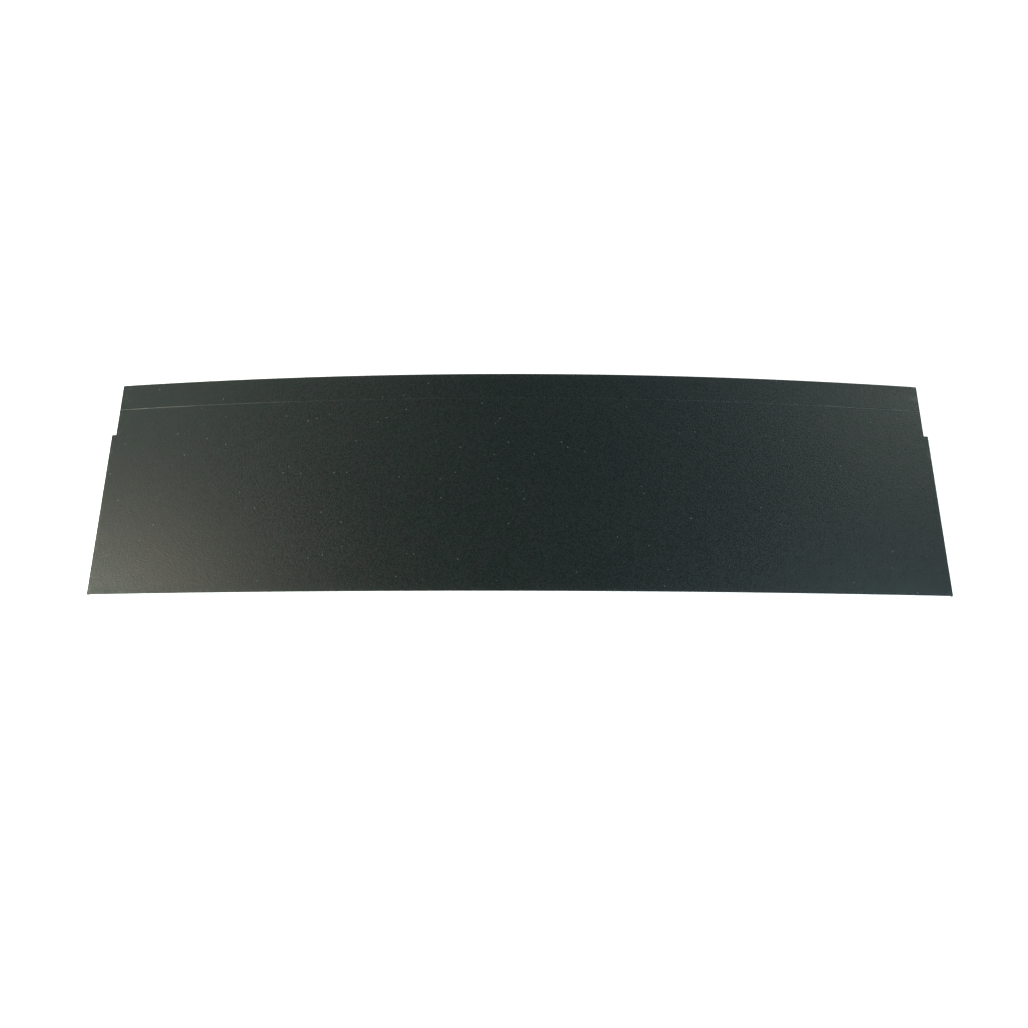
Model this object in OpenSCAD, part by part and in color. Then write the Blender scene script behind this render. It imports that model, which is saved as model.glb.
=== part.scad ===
// Door kick plate: one formed steel sheet held by foam mounting tape, with no fastener on its face.
// It lies face up. +X is along its width, +Y towards its arched top edge, and +Z out of its face.
// The origin is in the middle of the plane that meets the door, at Z = 0.

/* [Sheet] */
// Width over the two side folds
plate_w = 762; // [600:0.5:900]
// Height at the two ends, from the bottom corner to the top corner
end_h = 203.2; // [180:0.1:300]
// How far the arched top edge rises above its two ends
top_rise = 13.5; // [6:0.1:20]
// How far the shallow arch of the bottom edge rises above the bottom corners
bottom_rise = 4; // [2:0.1:6]
// Thickness of the steel sheet
sheet_t = 1.27; // [0.9:0.01:1.6]

/* [Side folds] */
// Outside radius of a fold
fold_r = 1.905; // [1.7:0.005:2.5]
// Height of the narrower tab above the folds, measured at the ends
tab_h = 50.8; // [40:0.1:70]
// Clearance from a fold's edge to the door, which closes as the tape is pressed
fold_clearance = 0.3; // [0.1:0.05:0.5]

/* [Pressed line] */
// Distance of the pressed line below the top edge
line_drop = 25.4; // [24:0.1:29]
// Width of the pressed line
line_w = 0.9; // [0.5:0.1:1.2]
// Depth of the pressed line
line_depth = 0.2; // [0.1:0.05:0.4]

/* [Mounting tape] */
// Width of the tape
tape_w = 19; // [12:0.5:19]
// Thickness of the tape
tape_t = 3.2; // [3:0.1:4]
// Thickness of a release liner
liner_t = 0.13; // [0.1:0.01:0.25]
// How far a liner is wider than its tape on each side
liner_edge = 0.5; // [0.2:0.1:1]
// Length of the finger tab where a liner runs past its tape
finger_tab = 6; // [4:0.5:7]
// Distance of the tape from the edges of the sheet
tape_inset = 3; // [2:0.5:3]
// Distance between the long strips and the upright strips
strip_gap = 8; // [8:0.5:12]

/* [Hidden] */

arc_fn = 720;
fold_fn = 64;
cut = 1; // how far a cutting shape runs past what it cuts

// Heights above the door: liner, tape, then sheet.
tape_z = liner_t;
back_z = tape_z + tape_t;
face_z = back_z + sheet_t;

// The outline. An arc is set by its chord and its rise.
function arc_radius(chord, rise) = chord * chord / (8 * rise) + rise / 2;

overall_h = end_h + top_rise;
web_half = plate_w / 2 - fold_r; // half the flat part between the folds
tab_step = fold_r + 2 * sheet_t; // the tab is cut in past each fold by two thicknesses, to relieve its end
tab_half = plate_w / 2 - tab_step;
bottom_y = -overall_h / 2;
top_y = overall_h / 2;
end_y = bottom_y + end_h;
fold_top_y = end_y - tab_h;
top_arc_r = arc_radius(2 * tab_half, top_rise);
bottom_arc_r = arc_radius(plate_w, bottom_rise);
top_arc_y = top_y - top_arc_r;
bottom_arc_y = bottom_y + bottom_rise - bottom_arc_r;

// The tape strips. Five equal uprights stand between a curved top strip and a straight bottom strip.
side_clear = 12; // from the tab's edge to the ends of the long strips
long_half = tab_half - side_clear;
upright_x = long_half - tape_w / 2;
bottom_strip_y = bottom_y + bottom_rise + tape_inset;
upright_y = bottom_strip_y + tape_w + strip_gap;
upright_h = end_y - tape_inset - tape_w - strip_gap - upright_y;

// A band that follows the top arc at a distance below it: from x = start to x = stop, z to z + t.
module top_band(drop, w, start, stop, z, t) {
    r = top_arc_r - drop;
    first = acos(stop / r);
    last = acos(start / r);
    translate([0, top_arc_y, 0])
        rotate_extrude(angle = last - first, start = first, $fn = arc_fn)
            translate([r - w, z])
                square([w, t]);
}

// A ring of triangular section along the pressed line, pointing down from the plane at z.
module line_wedge(z, lift) {
    r = top_arc_r - line_drop;
    spread = asin((tab_half + cut) / r);
    translate([0, top_arc_y, 0])
        rotate_extrude(angle = 2 * spread, start = 90 - spread, $fn = arc_fn)
            translate([r, z])
                polygon([[-line_w / 2, lift], [-line_w / 2, 0], [0, -line_depth], [line_w / 2, 0],
                         [line_w / 2, lift]]);
}

// The flat part: full width between the folds, and above them the tab up to its arched top edge.
module web() {
    intersection() {
        translate([-tab_half, bottom_y, back_z])
            cube([2 * tab_half, overall_h, sheet_t]);
        translate([0, top_arc_y, back_z - cut])
            cylinder(r = top_arc_r, h = sheet_t + 2 * cut, $fn = arc_fn);
    }
    translate([-web_half, bottom_y, back_z])
        cube([2 * web_half, fold_top_y - bottom_y, sheet_t]);
}

// The right side fold: a quarter turn of sheet and a short leg towards the door.
module side_fold() {
    leg_z = tape_z + fold_clearance;
    translate([web_half, fold_top_y, 0])
        rotate([90, 0, 0])
            linear_extrude(height = fold_top_y - bottom_y) {
                intersection() {
                    translate([0, face_z - fold_r])
                        difference() {
                            circle(r = fold_r, $fn = fold_fn);
                            circle(r = fold_r - sheet_t, $fn = fold_fn);
                        }
                    translate([0, face_z - fold_r])
                        square([fold_r, fold_r]);
                }
                translate([fold_r - sheet_t, leg_z])
                    square([sheet_t, face_z - fold_r - leg_z]);
            }
}

// The back of the pressed line, a low ridge as wide as the tab.
module line_ridge() {
    intersection() {
        line_wedge(back_z, 0);
        translate([-tab_half, bottom_y, 0])
            cube([2 * tab_half, overall_h, face_z]);
    }
}

module face_plate() {
    color([0.13, 0.17, 0.17])
        difference() {
            union() {
                web();
                line_ridge();
                side_fold();
                mirror([1, 0, 0]) side_fold();
            }
            line_wedge(face_z, cut);
            translate([0, bottom_arc_y, -cut])
                cylinder(r = bottom_arc_r, h = face_z + 2 * cut, $fn = arc_fn);
        }
}

module tape_colour() {
    color([0.10, 0.10, 0.11]) children();
}

module liner_colour() {
    color([0.72, 0.10, 0.09]) children();
}

module tape_top() {
    tape_colour()
        top_band(tape_inset, tape_w, -long_half, long_half, tape_z, tape_t);
}

module liner_top() {
    liner_colour()
        top_band(tape_inset - liner_edge, tape_w + 2 * liner_edge, -long_half, long_half + finger_tab, 0, liner_t);
}

module tape_bottom() {
    tape_colour()
        translate([-long_half, bottom_strip_y, tape_z])
            cube([2 * long_half, tape_w, tape_t]);
}

module liner_bottom() {
    liner_colour()
        translate([-long_half, bottom_strip_y - liner_edge, 0])
            cube([2 * long_half + finger_tab, tape_w + 2 * liner_edge, liner_t]);
}

// An upright strip, centred on x.
module upright_tape(x) {
    tape_colour()
        translate([x - tape_w / 2, upright_y, tape_z])
            cube([tape_w, upright_h, tape_t]);
}

// Its liner, with the finger tab at the bottom end.
module upright_liner(x) {
    liner_colour()
        translate([x - tape_w / 2 - liner_edge, upright_y - finger_tab, 0])
            cube([tape_w + 2 * liner_edge, upright_h + finger_tab, liner_t]);
}

face_plate();
tape_top();
tape_bottom();
upright_tape(-upright_x);  // tape_left
upright_tape(-upright_x / 2);  // tape_left_mid
upright_tape(0);  // tape_centre
upright_tape(upright_x / 2);  // tape_right_mid
upright_tape(upright_x);  // tape_right
liner_top();
liner_bottom();
upright_liner(-upright_x);  // liner_left
upright_liner(-upright_x / 2);  // liner_left_mid
upright_liner(0);  // liner_centre
upright_liner(upright_x / 2);  // liner_right_mid
upright_liner(upright_x);  // liner_right
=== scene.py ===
"""Looks of the door kick plate: one formed, powder-coated sheet on foam mounting tape under its liners."""
import math

import bmesh
import bpy
from mathutils import Matrix, Vector, noise


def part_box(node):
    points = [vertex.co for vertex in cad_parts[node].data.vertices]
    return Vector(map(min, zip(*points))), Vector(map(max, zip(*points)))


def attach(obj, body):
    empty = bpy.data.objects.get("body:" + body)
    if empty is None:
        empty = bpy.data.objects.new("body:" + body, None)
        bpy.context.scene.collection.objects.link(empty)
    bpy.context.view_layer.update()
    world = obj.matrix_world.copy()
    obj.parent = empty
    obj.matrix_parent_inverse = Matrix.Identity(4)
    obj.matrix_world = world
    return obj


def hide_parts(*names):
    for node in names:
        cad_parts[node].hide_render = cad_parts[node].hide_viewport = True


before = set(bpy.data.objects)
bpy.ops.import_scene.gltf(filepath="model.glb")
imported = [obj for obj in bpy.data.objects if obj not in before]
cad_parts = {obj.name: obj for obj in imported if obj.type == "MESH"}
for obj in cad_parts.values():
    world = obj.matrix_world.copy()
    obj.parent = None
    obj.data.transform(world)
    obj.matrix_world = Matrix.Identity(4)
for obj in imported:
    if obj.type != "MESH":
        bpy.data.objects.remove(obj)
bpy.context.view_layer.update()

MM = 0.001
TINY = 0.01 * MM  # slack when two places are compared
BODY = "root"

# ---- Sizes, in metres. What the frame can say is read from it, and the rest repeats the design. ----
PLATE_LOW, PLATE_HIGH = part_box("face_plate")
TAPE_LOW, TAPE_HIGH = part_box("tape_centre")
FACE_Z = PLATE_HIGH.z
BACK_Z = TAPE_HIGH.z
LINER_T = TAPE_LOW.z
LEG_Z = PLATE_LOW.z
SHEET_T = FACE_Z - BACK_Z
PLATE_W = PLATE_HIGH.x - PLATE_LOW.x
TAPE_W = TAPE_HIGH.x - TAPE_LOW.x
BOTTOM_Y = PLATE_LOW.y
TOP_RISE = 13.5 * MM
BOTTOM_RISE = 4 * MM
END_H = 203.2 * MM
TAB_H = 50.8 * MM
LINE_DROP = 25.4 * MM
LINE_W = 0.9 * MM
LINE_DEPTH = 0.2 * MM
TAPE_INSET = 3 * MM
LINER_EDGE = 0.5 * MM
FINGER_TAB = 6 * MM

FOLD_R = 1.5 * SHEET_T
WEB_HALF = PLATE_W / 2 - FOLD_R
TAB_HALF = WEB_HALF - 2 * SHEET_T
TOP_Y = BOTTOM_Y + END_H + TOP_RISE
FOLD_TOP_Y = BOTTOM_Y + END_H - TAB_H


def arc_radius(chord, rise):
    return chord * chord / (8 * rise) + rise / 2


TOP_ARC_R = arc_radius(2 * TAB_HALF, TOP_RISE)
TOP_ARC_Y = TOP_Y - TOP_ARC_R
BOTTOM_ARC_R = arc_radius(PLATE_W, BOTTOM_RISE)
BOTTOM_ARC_Y = BOTTOM_Y + BOTTOM_RISE - BOTTOM_ARC_R


def arc_y(x, radius, centre_y):
    return centre_y + math.sqrt(radius * radius - x * x)


# ---- Mesh and material helpers ----
def new_piece(name, mesh, material, node, smooth=True):
    """Makes an object of the mesh, which stands for one CAD node and rides on the only body."""
    piece = bpy.data.objects.new(name, mesh)
    bpy.context.scene.collection.objects.link(piece)
    mesh.materials.append(material)
    for face in mesh.polygons:
        face.use_smooth = smooth
    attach(piece, BODY)
    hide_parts(node)
    return piece


def keep_flats_flat(piece):
    """Weights the normals by face area, so that only the narrow rounded edges shade as curved."""
    modifier = piece.modifiers.new("flat faces", "WEIGHTED_NORMAL")
    modifier.mode = "FACE_AREA"
    modifier.weight = 100
    modifier.keep_sharp = True


class Nodes:
    """A short way to write a material's nodes."""

    def __init__(self, name):
        self.material = bpy.data.materials.new(name)
        self.material.use_nodes = True
        self.tree = self.material.node_tree
        self.tree.nodes.clear()
        self.shader = self.add("ShaderNodeBsdfPrincipled")
        output = self.add("ShaderNodeOutputMaterial")
        self.link(self.shader.outputs["BSDF"], output.inputs["Surface"])
        self.place = self.add("ShaderNodeTexCoord").outputs["Object"]

    def add(self, kind, **settings):
        node = self.tree.nodes.new(kind)
        for key, value in settings.items():
            setattr(node, key, value)
        return node

    def link(self, start, end):
        self.tree.links.new(start, end)

    def set(self, **values):
        """Sets sockets of the shader that are the same all over the surface."""
        for key, value in values.items():
            self.shader.inputs[key.replace("_", " ")].default_value = value

    def noise(self, size, detail=2.0, roughness=0.5):
        """Noise, from 0 to 1, whose features are about size metres across."""
        node = self.add("ShaderNodeTexNoise")
        node.inputs["Scale"].default_value = 1 / size
        node.inputs["Detail"].default_value = detail
        node.inputs["Roughness"].default_value = roughness
        self.link(self.place, node.inputs["Vector"])
        return node.outputs["Fac"]

    def cells(self, size):
        """Distance within cells about size metres across."""
        node = self.add("ShaderNodeTexVoronoi", feature="F1")
        node.inputs["Scale"].default_value = 1 / size
        self.link(self.place, node.inputs["Vector"])
        return node.outputs["Distance"]

    def ramp(self, value, low, high, out_low=0.0, out_high=1.0):
        """Maps low..high to out_low..out_high, clamped."""
        node = self.add("ShaderNodeMapRange", interpolation_type="SMOOTHSTEP")
        self.link(value, node.inputs["Value"])
        sockets = ("From Min", "From Max", "To Min", "To Max")
        for socket, number in zip(sockets, (low, high, out_low, out_high)):
            node.inputs[socket].default_value = number
        return node.outputs["Result"]

    def math(self, operation, a, b=0.0):
        node = self.add("ShaderNodeMath", operation=operation)
        for socket, value in zip(node.inputs, (a, b)):
            if isinstance(value, (int, float)):
                socket.default_value = value
            else:
                self.link(value, socket)
        return node.outputs["Value"]

    def mix(self, amount, a, b):
        """A colour between a and b. Each is a colour or another node's output."""
        node = self.add("ShaderNodeMix", data_type="RGBA")
        self.link(amount, node.inputs["Factor"])
        colours = [s for s in node.inputs if s.type == "RGBA"]
        for socket, value in zip(colours, (a, b)):
            if isinstance(value, tuple):
                socket.default_value = (*value, 1)
            else:
                self.link(value, socket)
        return [s for s in node.outputs if s.type == "RGBA"][0]

    def bump(self, height, distance, strength=1.0, normal=None):
        node = self.add("ShaderNodeBump")
        node.inputs["Distance"].default_value = distance
        node.inputs["Strength"].default_value = strength
        self.link(height, node.inputs["Height"])
        if normal:
            self.link(normal, node.inputs["Normal"])
        return node.outputs["Normal"]

    def attribute(self, name):
        return self.add("ShaderNodeAttribute", attribute_name=name).outputs["Fac"]

    def distance(self, centre):
        node = self.add("ShaderNodeVectorMath", operation="DISTANCE")
        self.link(self.place, node.inputs[0])
        node.inputs[1].default_value = centre
        return node.outputs["Value"]

    def coordinate(self, axis):
        split = self.add("ShaderNodeSeparateXYZ")
        self.link(self.place, split.inputs["Vector"])
        return split.outputs[axis]

    def connect(self, **outputs):
        for key, value in outputs.items():
            self.link(value, self.shader.inputs[key.replace("_", " ")])


# ---- Materials ----
LINE_HIGHLIGHT_MIDDLE = 0.05  # how much of the pressed line's painted highlight is left in the middle of the plate


def powder_coat():
    """Black powder coat with a slate green cast: satin, finely grained, with nibs, pits and worn edges, and
    a painted highlight along the pressed line that is strongest towards both ends.
    """
    n = Nodes("powder_coat")
    grain = n.noise(1.3 * MM, detail=2, roughness=0.6)
    fine = n.noise(0.6 * MM, detail=1)
    tint = n.noise(10 * MM, detail=1)
    cloud = n.noise(90 * MM, detail=3)

    speckle = n.ramp(grain, 0.3, 0.7)
    green = n.mix(speckle, (0.0046, 0.0106, 0.0096), (0.0057, 0.0124, 0.0114))
    blue = n.mix(speckle, (0.0058, 0.0094, 0.0106), (0.0073, 0.0110, 0.0126))
    colour = n.mix(n.ramp(tint, 0.35, 0.65), green, blue)
    colour = n.mix(n.ramp(cloud, 0.3, 0.7, 0.0, 0.25), colour, (0.0110, 0.0145, 0.0132))

    nibs = n.ramp(n.cells(12 * MM), 0.055, 0.030)
    pits = n.ramp(n.cells(13 * MM), 0.045, 0.030)
    colour = n.mix(n.math("MULTIPLY", pits, 0.8), colour, (0.0005, 0.0008, 0.0008))
    colour = n.mix(nibs, colour, (0.090, 0.110, 0.110))

    rim = n.attribute("rim")
    rub = n.math("MULTIPLY", rim, n.ramp(n.noise(7 * MM, detail=4), 0.48, 0.75))
    colour = n.mix(n.math("MULTIPLY", rub, 0.6), colour, (0.040, 0.045, 0.043))

    # Painted highlight: the pressed line is lightened in colour, faintly in the middle and fully towards
    # both ends, in place of the light its groove catches there.
    highlight_dashes = n.ramp(n.noise(14 * MM, detail=3), 0.38, 0.60, 0.15, 1.0)
    line = n.math("MULTIPLY", n.attribute("line"), highlight_dashes)
    from_middle = n.math("ABSOLUTE", n.coordinate("X"))
    shown = n.ramp(from_middle, 180 * MM, 360 * MM, LINE_HIGHLIGHT_MIDDLE, 1.0)
    line = n.math("MULTIPLY", line, shown)
    colour = n.mix(line, colour, (0.056, 0.063, 0.060))

    rough = n.ramp(grain, 0.3, 0.7, 0.37, 0.53)
    rough = n.math("SUBTRACT", rough, n.math("MULTIPLY", rub, 0.12))
    from_top = n.math("SUBTRACT", TOP_ARC_R, n.distance((0, TOP_ARC_Y, 0)))
    from_bottom = n.math("SUBTRACT", n.distance((0, BOTTOM_ARC_Y, 0)), BOTTOM_ARC_R)
    build_up = n.ramp(n.math("MINIMUM", from_top, from_bottom), 10 * MM, 0)
    rough = n.math("ADD", rough, n.math("MULTIPLY", build_up, 0.05))

    normal = n.bump(grain, 0.20 * MM, 1.0)
    normal = n.bump(fine, 0.04 * MM, 1.0, normal)
    normal = n.bump(nibs, 0.15 * MM, 0.8, normal)

    n.connect(Base_Color=colour, Roughness=rough, Normal=normal)
    n.set(Metallic=0.0, Specular_IOR_Level=0.5)
    return n.material


def foam():
    """Dark grey closed-cell foam, with its adhesive skins along the top and bottom of each cut side."""
    n = Nodes("foam_tape")
    cells = n.cells(0.55 * MM)
    uneven = n.noise(3 * MM, detail=3)
    colour = n.mix(n.ramp(cells, 0.1, 0.6), (0.0045, 0.0045, 0.0050), (0.0150, 0.0150, 0.0160))
    colour = n.mix(n.ramp(uneven, 0.35, 0.7, 0.0, 0.5), colour, (0.0180, 0.0180, 0.0190))

    height = n.coordinate("Z")
    skin_t = 0.12 * MM
    upper = n.ramp(height, BACK_Z - 1.5 * skin_t, BACK_Z - skin_t)
    lower = n.ramp(height, LINER_T + 1.5 * skin_t, LINER_T + skin_t)
    skin = n.math("MAXIMUM", upper, lower)
    colour = n.mix(skin, colour, (0.0300, 0.0300, 0.0290))
    rough = n.ramp(skin, 0.0, 1.0, 0.92, 0.38)

    normal = n.bump(uneven, 0.20 * MM, 0.5)
    normal = n.bump(cells, 0.15 * MM, 0.9, normal)
    n.connect(Base_Color=colour, Roughness=rough, Normal=normal)
    n.set(Metallic=0.0, Specular_IOR_Level=0.3)
    return n.material


def liner_film():
    """Red release film with a fine diamond emboss."""
    n = Nodes("release_liner")
    pitch = 1.6 * MM
    waves = []
    for sign in (1, -1):
        along = n.math("ADD", n.coordinate("X"), n.math("MULTIPLY", n.coordinate("Y"), sign))
        waves.append(n.math("ABSOLUTE", n.math("SINE", n.math("MULTIPLY", along, math.pi / pitch))))
    emboss = n.ramp(n.math("MINIMUM", *waves), 0.0, 0.30)
    cloud = n.noise(14 * MM, detail=3)
    colour = n.mix(n.ramp(cloud, 0.3, 0.7), (0.360, 0.008, 0.007), (0.440, 0.014, 0.011))
    colour = n.mix(n.ramp(emboss, 0.0, 1.0, 0.35, 0.0), colour, (0.260, 0.005, 0.005))
    rough = n.ramp(cloud, 0.3, 0.7, 0.30, 0.42)
    normal = n.bump(emboss, 0.04 * MM, 0.7)
    normal = n.bump(cloud, 0.30 * MM, 0.4, normal)
    n.connect(Base_Color=colour, Roughness=rough, Normal=normal)
    n.set(Metallic=0.0, Specular_IOR_Level=0.5)
    return n.material


FLOOR_GLOW = 0.8


def pale_floor():
    """A white sweep that glows a little, as one lit from below does."""
    n = Nodes("floor")
    fine = n.noise(300 * MM, detail=2)
    n.connect(Base_Color=n.mix(fine, (0.86, 0.86, 0.86), (0.88, 0.88, 0.88)))
    n.set(Roughness=0.9, Specular_IOR_Level=0.1, Emission_Color=(1, 1, 1, 1), Emission_Strength=FLOOR_GLOW)
    return n.material


# ---- The sheet ----
FOLD_STEPS = 10
WEB_STEPS = 64
EDGE_STRIP = 3 * MM
LINE_STEPS = 10
EDGE_ROUND = 0.3 * MM
TAB_CORNER = 0.9 * MM
RELIEF_CORNER = 0.5 * MM
LEG_CORNER = 1.2 * MM
CORNER_SEGMENTS = 5
RIM_SEGMENTS = 3
CORNER_SLACK = 0.05 * MM
SMALL_FACE = 13 * MM * EDGE_ROUND  # only the strips of the rounded edges have smaller faces


def right_fold_columns():
    """Points of the front and back surfaces round the fold and down the leg, in x and z."""
    inner = FOLD_R - SHEET_T
    columns = []
    for step in range(1, FOLD_STEPS + 1):
        turn = math.pi / 2 * step / FOLD_STEPS
        across, up = math.sin(turn), math.cos(turn)
        columns.append([(WEB_HALF + r * across, FACE_Z - FOLD_R + r * up) for r in (FOLD_R, inner)])
    columns.append([(WEB_HALF + FOLD_R, LEG_Z), (WEB_HALF + inner, LEG_Z)])
    return columns


def sheet_columns():
    """All the columns from left to right. Each is ((front x, front z), (back x, back z))."""
    fold = right_fold_columns()
    flat = [-WEB_HALF] + [TAB_HALF * (2 * i / WEB_STEPS - 1) for i in range(WEB_STEPS + 1)] + [WEB_HALF]
    left = [[(-x, z) for x, z in column] for column in reversed(fold)]
    return left + [[(x, FACE_Z), (x, BACK_Z)] for x in flat] + fold


def spread(start, stop, step):
    """Shares from 0 to 1 at about equal steps, with a narrow strip at both ends."""
    length = stop - start
    strip = EDGE_STRIP / length
    count = max(1, round((length - 2 * EDGE_STRIP) / step))
    return [0.0] + [strip + (1 - 2 * strip) * i / count for i in range(count + 1)] + [1.0]


def sheet_rows(x, with_tab):
    """Where the rows cross a column: the y of each, and how deep the pressed line is there."""
    low = arc_y(x, BOTTOM_ARC_R, BOTTOM_ARC_Y)
    rows = [(low + (FOLD_TOP_Y - low) * share, 0.0) for share in spread(BOTTOM_Y, FOLD_TOP_Y, 12 * MM)]
    if not with_tab:
        return rows
    line = arc_y(x, TOP_ARC_R - LINE_DROP, TOP_ARC_Y)
    top = arc_y(x, TOP_ARC_R, TOP_ARC_Y)
    start = line - LINE_W / 2
    end = line + LINE_W / 2
    rows += [(FOLD_TOP_Y + (start - FOLD_TOP_Y) * share, 0.0) for share in (0.12, 0.5, 0.88)]
    for i in range(LINE_STEPS + 1):
        across = 2 * i / LINE_STEPS - 1
        rows.append((line + across * LINE_W / 2, LINE_DEPTH * (0.5 + 0.5 * math.cos(math.pi * across))))
    rows += [(end + (top - end) * share, 0.0) for share in (0.12, 0.5, 0.88, 1.0)]
    return rows


def corner_edges(bm, x, y):
    """The edges through the sheet's thickness at the outline's corners with this |x| and y."""
    found = []
    for edge in bm.edges:
        a, b = (v.co for v in edge.verts)
        through = abs(a.y - b.y) < TINY and abs(edge.calc_length() - SHEET_T) < TINY
        near = abs(max(abs(a.x), abs(b.x)) - x) < CORNER_SLACK and abs(a.y - y) < CORNER_SLACK
        if through and near:
            found.append(edge)
    return found


def round_edges(bm, edges, radius, segments):
    bmesh.ops.bevel(bm, geom=edges, offset=radius, segments=segments, profile=0.5, affect="EDGES")


def build_sheet(material):
    bm = bmesh.new()
    columns = sheet_columns()
    sides = []
    for side in (0, 1):
        grid = []
        for column in columns:
            x, z = column[side]
            front_x = column[0][0]
            rows = sheet_rows(front_x, abs(front_x) < TAB_HALF + TINY)
            grid.append([bm.verts.new((x, y, z - depth)) for y, depth in rows])
        for a, b in zip(grid, grid[1:]):
            for i in range(min(len(a), len(b)) - 1):
                quad = [a[i], b[i], b[i + 1], a[i + 1]]
                bm.faces.new(quad if side == 0 else quad[::-1])
        sides.append(grid)
    bm.verts.ensure_lookup_table()
    partner = {}
    for front, back in zip(*sides):
        for a, b in zip(front, back):
            partner[a] = b
    for edge in [e for e in bm.edges if e.is_boundary and e.verts[0] in partner]:
        face = edge.link_faces[0]
        a, b = edge.verts
        loop = next(l for l in face.loops if l.edge == edge)
        if loop.vert != a:
            a, b = b, a
        bm.faces.new([b, a, partner[a], partner[b]])
    bm.normal_update()

    fold_x = WEB_HALF + FOLD_R
    end_y = arc_y(TAB_HALF, TOP_ARC_R, TOP_ARC_Y)
    low_y = arc_y(fold_x, BOTTOM_ARC_R, BOTTOM_ARC_Y)
    corners = [(TAB_HALF, end_y, TAB_CORNER), (TAB_HALF, FOLD_TOP_Y, RELIEF_CORNER)]
    for x, y, radius in corners:
        round_edges(bm, corner_edges(bm, x, y), radius, CORNER_SEGMENTS)
    legs = [e for y in (FOLD_TOP_Y, low_y) for e in corner_edges(bm, fold_x, y)
            if min(v.co.z for v in e.verts) < LEG_Z + TINY]
    round_edges(bm, legs, LEG_CORNER, CORNER_SEGMENTS)
    bm.normal_update()
    rim_edges = [e for e in bm.edges if e.calc_face_angle(0) > math.radians(60)]
    round_edges(bm, rim_edges, EDGE_ROUND, RIM_SEGMENTS)
    bmesh.ops.recalc_face_normals(bm, faces=bm.faces)

    mesh = bpy.data.meshes.new("plate_sheet")
    bm.to_mesh(mesh)
    bm.free()
    mark_wear_and_highlight(mesh)
    piece = new_piece("plate_sheet", mesh, material, "face_plate")
    keep_flats_flat(piece)
    return piece


def mark_wear_and_highlight(mesh):
    """Stores 1 on the points of the rounded edges as rim, for edge wear, and on those of the pressed line
    as line, for its painted highlight.
    """
    rim = mesh.attributes.new("rim", "FLOAT", "POINT")
    line = mesh.attributes.new("line", "FLOAT", "POINT")
    smallest = [math.inf] * len(mesh.vertices)
    for face in mesh.polygons:
        for index in face.vertices:
            smallest[index] = min(smallest[index], face.area)
    for index, vertex in enumerate(mesh.vertices):
        x, y, z = vertex.co
        from_line = abs(y - arc_y(x, TOP_ARC_R - LINE_DROP, TOP_ARC_Y))
        in_line = from_line < LINE_W / 2 - TINY and z > BACK_Z + TINY
        line.data[index].value = float(in_line)
        rim.data[index].value = float(smallest[index] < SMALL_FACE and from_line > LINE_W)


# ---- The mounting tape and its liners ----
def straight_path(start, direction, length):
    """A straight centre line: distance along it to a point and the direction across, in x and y."""
    across = Vector((direction.y, -direction.x))
    return lambda s: (start + direction * s, across), length


def arc_path(radius, first, last):
    """A centre line on the top edge's arc, from the left end to the right."""
    def point(s):
        angle = last - s / radius
        out = Vector((math.cos(angle), math.sin(angle)))
        return Vector((0, TOP_ARC_Y)) + out * radius, -out
    return point, radius * (last - first)


def loft(rings, name):
    """A closed mesh through rings of points, capped at both ends."""
    bm = bmesh.new()
    made = [[bm.verts.new(p) for p in ring] for ring in rings]
    for a, b in zip(made, made[1:]):
        for i in range(len(a)):
            j = (i + 1) % len(a)
            bm.faces.new([a[i], a[j], b[j], b[i]])
    bm.faces.new(made[0][::-1])
    bm.faces.new(made[-1])
    bmesh.ops.recalc_face_normals(bm, faces=bm.faces)
    mesh = bpy.data.meshes.new(name)
    bm.to_mesh(mesh)
    bm.free()
    return mesh


FOAM_STEP = 1.5 * MM
FOAM_BULGE = 0.12 * MM
FOAM_ROUGH = 0.10 * MM
FOAM_SIDE_STEPS = 6


def foam_section():
    """The foam's section as (across, height, how much of the cut side's roughness a point takes)."""
    half = TAPE_W / 2
    height = BACK_Z - LINER_T
    side = []
    for i in range(FOAM_SIDE_STEPS + 1):
        share = i / FOAM_SIDE_STEPS
        swell = FOAM_BULGE * math.sin(math.pi * share)
        side.append((half - FOAM_BULGE + swell, LINER_T + height * share, math.sin(math.pi * share)))
    return side + [(-across, z, rough) for across, z, rough in reversed(side)]


def build_foam(name, path, length, material):
    section = foam_section()
    count = round(length / FOAM_STEP)
    rings = []
    for i in range(count + 1):
        centre, across = path(length * i / count)
        ring = []
        for offset, z, rough in section:
            flat = centre + across * offset
            place = Vector((flat.x, flat.y, z))
            shift = FOAM_ROUGH * rough * noise.noise(place / (1.3 * MM))
            flat += across * math.copysign(1, offset) * shift
            ring.append((flat.x, flat.y, z))
        rings.append(ring)
    mesh = loft(rings, "foam_" + name)
    piece = new_piece("foam_" + name, mesh, material, "tape_" + name, False)
    return piece


TAB_CURL = 1.1 * MM
TAB_ROUND = 3 * MM


def build_liner(name, path, length, material):
    """The film under a strip of foam, with a round-cornered finger tab that curls up a little."""
    half = TAPE_W / 2 + LINER_EDGE
    flat_count = max(2, round(length / (8 * MM)))
    stops = [length * i / flat_count for i in range(flat_count + 1)]
    straight = FINGER_TAB - TAB_ROUND
    stops += [length + straight * i / 4 for i in range(1, 5)]
    stops += [length + straight + TAB_ROUND * math.sin(math.pi / 2 * i / 8) for i in range(1, 9)]
    rings = []
    for s in stops:
        centre, across = path(s)
        past = max(0.0, s - length)
        lift = TAB_CURL * (past / FINGER_TAB) ** 2
        round_off = max(0.0, past - straight)
        narrow = TAB_ROUND - math.sqrt(max(0.0, TAB_ROUND ** 2 - round_off ** 2))
        ring = []
        for side, z in ((-1, 0), (1, 0), (1, LINER_T), (-1, LINER_T)):
            flat = centre + across * side * (half - narrow)
            ring.append((flat.x, flat.y, z + lift))
        rings.append(ring)
    mesh = loft(rings, "film_" + name)
    return new_piece("film_" + name, mesh, material, "liner_" + name, False)


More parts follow.
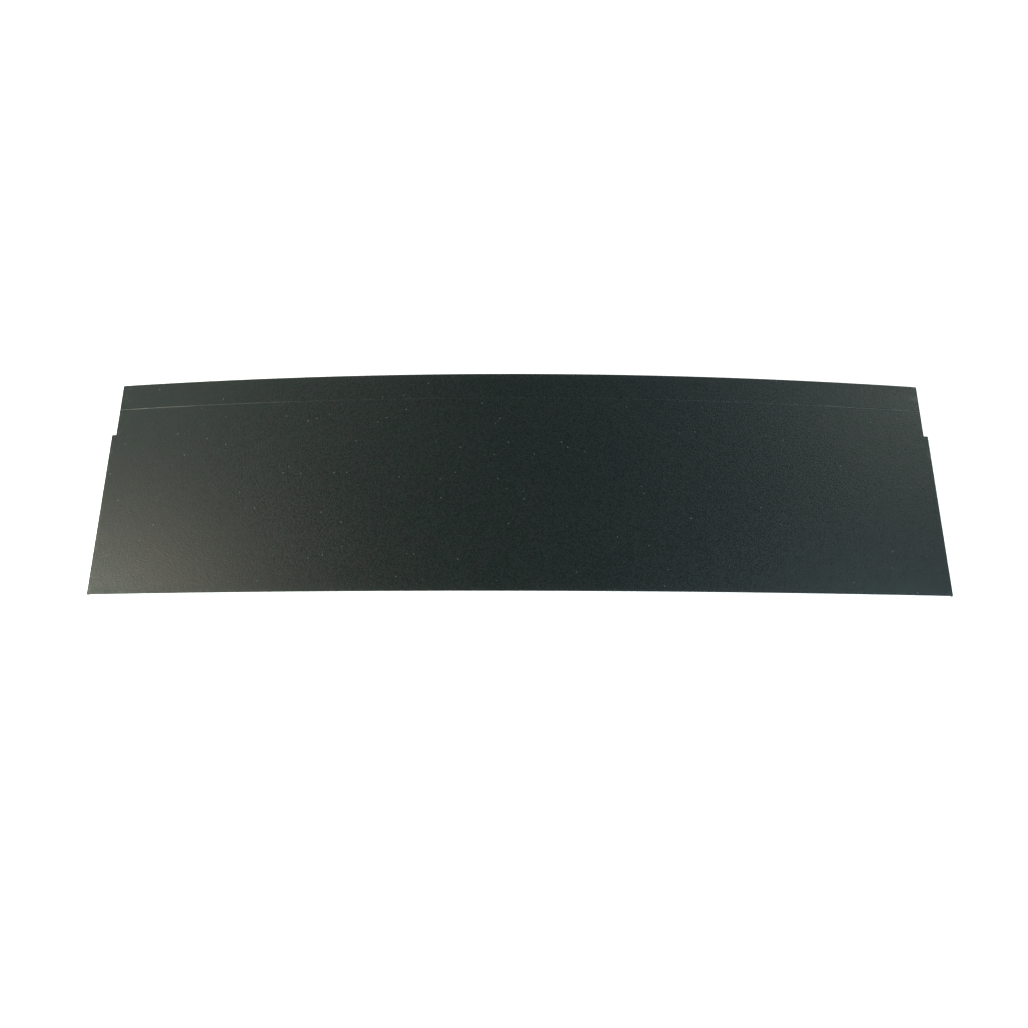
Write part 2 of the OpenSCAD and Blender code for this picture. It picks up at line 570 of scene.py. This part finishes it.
def tape_paths():
    """The centre line and length of each strip, by name, read from the CAD strips' boxes."""
    paths = {}
    radius = TOP_ARC_R - TAPE_INSET
    long_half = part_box("tape_bottom")[1].x
    spread_angle = math.asin(long_half / radius)
    right = math.pi / 2 - spread_angle
    left = math.pi / 2 + spread_angle
    paths["top"] = arc_path(radius - TAPE_W / 2, right, left)
    low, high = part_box("tape_bottom")
    paths["bottom"] = straight_path(Vector((low.x, (low.y + high.y) / 2)), Vector((1, 0)), high.x - low.x)
    for name in ("left", "left_mid", "centre", "right_mid", "right"):
        low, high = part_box("tape_" + name)
        paths[name] = straight_path(Vector(((low.x + high.x) / 2, high.y)), Vector((0, -1)), high.y - low.y)
    return paths


# ---- Studio ----
CAMERA_PLACE = Vector((-0.0026, BOTTOM_Y - 0.1843, FACE_Z + 0.7652))
CAMERA_TURNS = (71.270, -0.501, -0.368)  # pitch, yaw and roll, in degrees
CAMERA_LENS = 31.286

WARM_TINT = (1.00, 0.60, 0.55)
PLAIN_TINT = (0.90, 1.00, 0.90)
COOL_TINT = (0.65, 0.88, 1.00)
GREEN_TINT = (0.64, 1.00, 0.75)

FLOOR_RADIUS = 6
FLOOR_GAP = 0.05 * MM  # keeps the floor just clear of the liners
WALL_TOP = 0.22
CEILING_START = 0.45


def add_camera():
    """Looks steeply down at the face from in front of the bottom edge."""
    pitch, yaw, roll = (math.radians(turn) for turn in CAMERA_TURNS)
    forward = Vector((math.sin(yaw) * math.cos(pitch), math.cos(yaw) * math.cos(pitch), -math.sin(pitch)))
    level_right = Vector((math.cos(yaw), -math.sin(yaw), 0))
    level_up = level_right.cross(forward)
    right = level_right * math.cos(roll) + level_up * math.sin(roll)
    up = level_up * math.cos(roll) - level_right * math.sin(roll)
    camera = bpy.data.objects.new("camera", bpy.data.cameras.new("camera"))
    bpy.context.scene.collection.objects.link(camera)
    turn = Matrix((right, up, -forward)).transposed().to_4x4()
    camera.matrix_world = Matrix.Translation(CAMERA_PLACE) @ turn
    camera.data.sensor_width = 36
    camera.data.lens = CAMERA_LENS
    camera.data.clip_start = 0.01
    bpy.context.scene.camera = camera


def add_softbox(name, azimuth, elevation, distance, size, watts, tint):
    """A square area light on a dome about the middle of the plate, and facing it.

    The angles are in degrees, and azimuth 0 is +X and 90 is +Y. All three tint channels scale the watts."""
    turn, lift = math.radians(azimuth), math.radians(elevation)
    out = Vector((math.cos(turn) * math.cos(lift), math.sin(turn) * math.cos(lift), math.sin(lift)))
    data = bpy.data.lights.new(name, "AREA")
    data.shape = "SQUARE"
    data.size = size
    data.energy = watts
    data.color = tint
    light = bpy.data.objects.new(name, data)
    bpy.context.scene.collection.objects.link(light)
    light.location = out * distance
    light.rotation_euler = out.to_track_quat("Z", "Y").to_euler()
    light.visible_camera = False


def add_world():
    """Pale walls low down, behind the floor's far edge, and a dark ceiling that leaves the face black."""
    world = bpy.data.worlds.new("studio")
    bpy.context.scene.world = world
    world.use_nodes = True
    tree = world.node_tree
    background = tree.nodes["Background"]
    place = tree.nodes.new("ShaderNodeTexCoord")
    split = tree.nodes.new("ShaderNodeSeparateXYZ")
    ramp = tree.nodes.new("ShaderNodeValToRGB")
    tree.links.new(place.outputs["Generated"], split.inputs["Vector"])
    tree.links.new(split.outputs["Z"], ramp.inputs["Fac"])
    tree.links.new(ramp.outputs["Color"], background.inputs["Color"])
    wall, ceiling = ramp.color_ramp.elements
    wall.position, wall.color = WALL_TOP, (0.83, 0.83, 0.83, 1)
    ceiling.position, ceiling.color = CEILING_START, (0.004, 0.005, 0.005, 1)
    background.inputs["Strength"].default_value = 1.0


def add_studio():
    place = (0, 0, -FLOOR_GAP)
    bpy.ops.mesh.primitive_circle_add(vertices=96, radius=FLOOR_RADIUS, fill_type="NGON", location=place)
    floor = bpy.context.object
    floor.name = "floor"
    floor.data.materials.append(pale_floor())
    add_softbox("left_key", 195, 28, 0.75, 0.30, 3.3, GREEN_TINT)
    add_softbox("left_near", 190, 35, 0.62, 0.30, 1.3, WARM_TINT)
    add_softbox("right_near", 330, 35, 0.62, 0.30, 1.6, COOL_TINT)
    add_softbox("front", 270, 28, 0.95, 0.40, 2.0, PLAIN_TINT)
    add_softbox("right_back", 30, 28, 0.95, 0.40, 1.9, PLAIN_TINT)
    add_softbox("back_right", 60, 28, 0.95, 0.40, 1.0, COOL_TINT)
    add_softbox("back_left", 120, 28, 0.95, 0.40, 1.3, PLAIN_TINT)
    add_softbox("left_back", 150, 28, 0.95, 0.40, 1.0, PLAIN_TINT)
    add_world()
    bpy.context.scene.view_settings.view_transform = "Standard"


add_camera()
build_sheet(powder_coat())
foam_material = foam()
film_material = liner_film()
for strip, (line, span) in tape_paths().items():
    build_foam(strip, line, span, foam_material)
    build_liner(strip, line, span, film_material)
add_studio()
